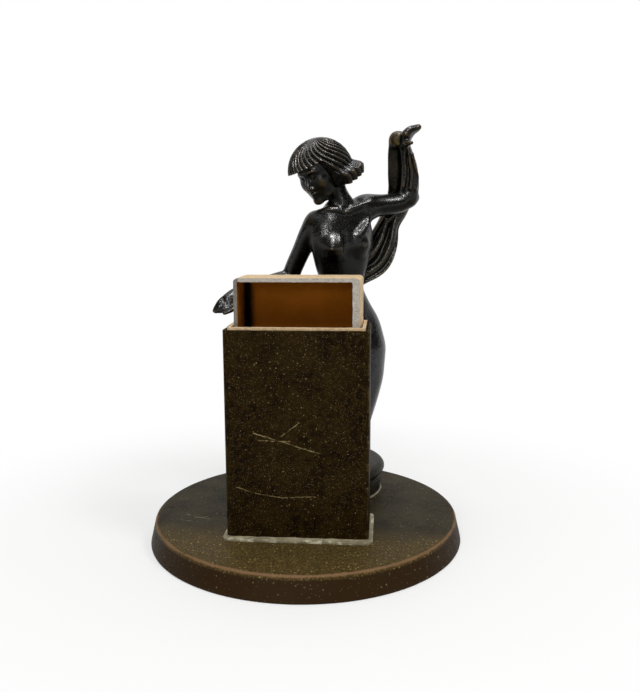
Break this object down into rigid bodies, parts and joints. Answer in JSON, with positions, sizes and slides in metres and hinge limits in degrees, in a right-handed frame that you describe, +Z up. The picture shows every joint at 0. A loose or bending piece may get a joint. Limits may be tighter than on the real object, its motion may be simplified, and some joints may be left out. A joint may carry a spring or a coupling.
{
  "type": "matchbox holder",
  "caption": "Upright bronze matchbox case on a round base, with a kneeling draped figure on a low pedestal behind it.",
  "frame": {"origin": "centre of the base disc's underside", "axes": "+Z up, -Y the case's front face, +X to the right as seen from the front"},
  "size_m": [0.0928, 0.0928, 0.121],
  "materials": {
    "base_bronze": "dark brown patina, scratched, worn to copper at the top edge",
    "case_bronze": "dark brown patina with small light specks and scratches",
    "foot_bronze": "rubbed grey-green brass",
    "figure_bronze": "near-black patina, glossy on the high spots, rubbed to brass on the chest",
    "steel": "plain steel, slightly tarnished",
    "sleeve_card": "cream card, matt",
    "tray_card": "brown card inside, cream outside, with torn grey edges",
    "striker": "red-brown striking strip, gritty"
  },
  "bodies": {
    "root": {"base_disc": "base_bronze", "foot_plate": "foot_bronze", "case_body": "case_bronze", "case_back_plate": "case_bronze", "pedestal_drum": "figure_bronze", "pedestal_cap": "figure_bronze", "figure": "figure_bronze", "shawl": "figure_bronze", "fixing_stud": "steel", "stud_washer": "steel", "stud_nut": "steel"},
    "sleeve": {"matchbox_sleeve": "sleeve_card", "striker_left": "striker", "striker_right": "striker"},
    "tray": {"matchbox_tray": "tray_card"}
  },
  "joints": [
    {"name": "matchbox_lift", "type": "slide", "parent": "root", "child": "sleeve", "axis": [0, 0, 1], "range_m": [0, 0.062]},
    {"name": "tray_slide", "type": "slide", "parent": "sleeve", "child": "tray", "axis": [0, 0, 1], "range_m": [-0.0135, 0.04]}
  ]
}
